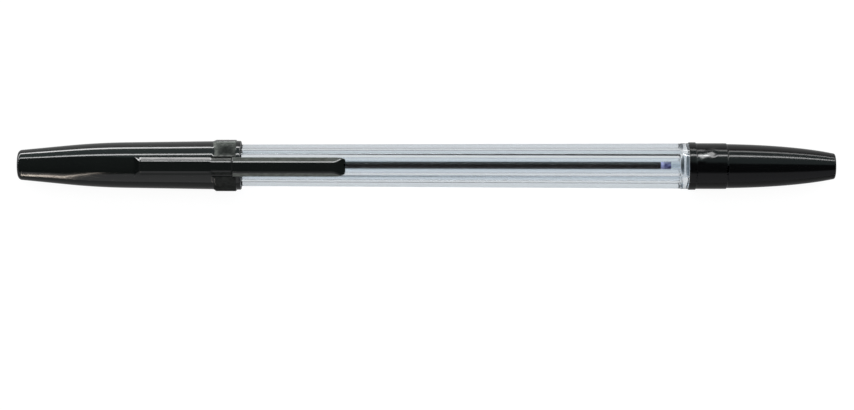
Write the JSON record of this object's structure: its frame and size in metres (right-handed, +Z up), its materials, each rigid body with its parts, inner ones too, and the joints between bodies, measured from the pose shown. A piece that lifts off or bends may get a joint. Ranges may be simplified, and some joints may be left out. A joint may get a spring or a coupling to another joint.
{
  "type": "capped ballpoint pen",
  "caption": "Stick ballpoint pen with a clear six-sided barrel, a black end plug and a pull-off cap with a flexing pocket clip.",
  "frame": {"origin": "under the middle of the capped pen, on the surface that it lies on", "axes": "+X along the pen from the cap's closed end to the tail, +Z up through the pocket clip"},
  "size_m": [0.15, 0.0094, 0.0104],
  "materials": {
    "clear_barrel": "clear, polished",
    "black_plug": "glossy",
    "black_cap": "glossy",
    "clear_tube": "translucent, smooth",
    "black_ink": "wet",
    "lilac_grease": "translucent gel",
    "point_metal": "turned, bright",
    "ball_metal": "polished"
  },
  "bodies": {
    "pen": {"barrel": "clear_barrel", "end_plug": "black_plug", "refill_tube": "clear_tube", "ink_column": "black_ink", "point_housing": "point_metal"},
    "cap_body": {"cap": "black_cap"},
    "clip_arm": {"pocket_clip": "black_cap"},
    "ball": {"writing_ball": "ball_metal"},
    "grease": {"grease_plug": "lilac_grease"}
  },
  "joints": [
    {"name": "cap_pull", "type": "slide", "parent": "pen", "child": "cap_body", "axis": [-1, 0, 0], "range_m": [0, 0.05]},
    {"name": "clip_flex", "type": "hinge", "parent": "cap_body", "child": "clip_arm", "pos_m": [-0.03539, 0, 0.00989], "axis": [0, -1, 0], "range_deg": [0, 6], "stiffness_Nm_per_rad": 0.06},
    {"name": "ball_roll", "type": "hinge", "parent": "pen", "child": "ball", "pos_m": [-0.05935, 0, 0.00474], "axis": [0, 1, 0], "continuous": true},
    {"name": "grease_travel", "type": "slide", "parent": "pen", "child": "grease", "axis": [-1, 0, 0], "range_m": [0, 0.0935], "deforming": ["ink_column"]}
  ]
}
